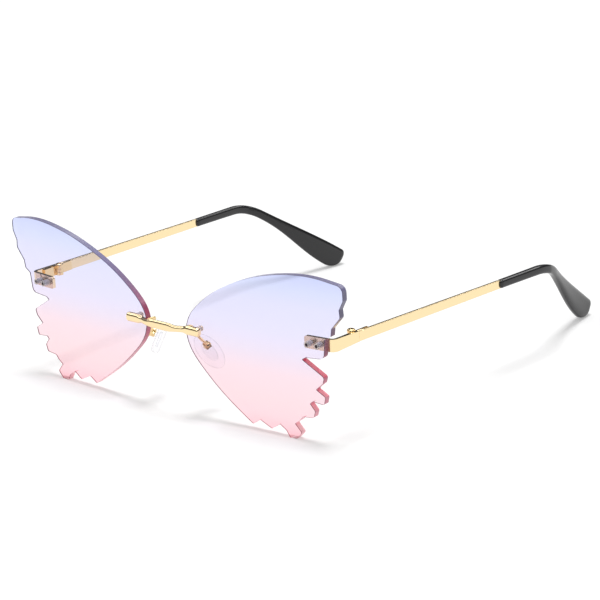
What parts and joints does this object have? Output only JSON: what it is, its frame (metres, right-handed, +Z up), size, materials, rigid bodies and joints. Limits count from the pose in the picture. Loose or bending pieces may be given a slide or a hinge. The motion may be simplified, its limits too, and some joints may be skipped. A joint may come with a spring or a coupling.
{
  "type": "butterfly sunglasses",
  "caption": "Rimless sunglasses with butterfly-wing lenses, a thin metal bridge and folding temples with curved plastic tips, standing open.",
  "frame": {"origin": "on the floor, in the middle of the width and of the depth of the open sunglasses", "axes": "+X towards the wearer's left, +Z up, and the lenses face -Y"},
  "size_m": [0.1492, 0.1528, 0.0547],
  "materials": {
    "tinted_lens": "polished, lilac to pink gradient tint",
    "gold_metal": "polished light gold plate",
    "gold_hardware": "polished light gold plate",
    "black_tip": "glossy black acetate",
    "clear_pad": "clear soft silicone",
    "pad_core": "clear hard plastic",
    "clear_sleeve": "clear hard plastic"
  },
  "bodies": {
    "front": {"bridge": "gold_metal", "left_lens": "tinted_lens", "left_bridge_sleeve": "clear_sleeve", "left_end_sleeves": "clear_sleeve", "left_bridge_nut": "gold_hardware", "left_end_piece": "gold_metal", "left_front_hinge_leaf": "gold_hardware", "left_hinge_screw": "gold_hardware", "left_pad_arm": "gold_hardware", "left_pad_box": "gold_hardware", "left_pad_screw": "gold_hardware", "right_lens": "tinted_lens", "right_bridge_sleeve": "clear_sleeve", "right_end_sleeves": "clear_sleeve", "right_bridge_nut": "gold_hardware", "right_end_piece": "gold_metal", "right_front_hinge_leaf": "gold_hardware", "right_hinge_screw": "gold_hardware", "right_pad_arm": "gold_hardware", "right_pad_box": "gold_hardware", "right_pad_screw": "gold_hardware"},
    "left_side": {"left_rear_hinge_leaf": "gold_hardware", "left_temple": "gold_metal", "left_temple_tip": "black_tip"},
    "right_side": {"right_rear_hinge_leaf": "gold_hardware", "right_temple": "gold_metal", "right_temple_tip": "black_tip"},
    "left_pad": {"left_nose_pad": "clear_pad", "left_pad_core": "pad_core"},
    "right_pad": {"right_nose_pad": "clear_pad", "right_pad_core": "pad_core"}
  },
  "joints": [
    {"name": "left_temple_fold", "type": "hinge", "parent": "front", "child": "left_side", "pos_m": [0.0664, -0.05698, 0.0324], "axis": [0, 0, 1], "range_deg": [0, 90]},
    {"name": "right_temple_fold", "type": "hinge", "parent": "front", "child": "right_side", "pos_m": [-0.0664, -0.05698, 0.0324], "axis": [0, 0, -1], "range_deg": [0, 83]},
    {"name": "left_pad_rock", "type": "hinge", "parent": "front", "child": "left_pad", "pos_m": [0.01216, -0.06712, 0.02239], "axis": [0.2876, 0.8245, 0.4874], "range_deg": [-10, 10]},
    {"name": "right_pad_rock", "type": "hinge", "parent": "front", "child": "right_pad", "pos_m": [-0.01216, -0.06712, 0.02239], "axis": [-0.2876, 0.8245, 0.4874], "range_deg": [-10, 10]}
  ]
}
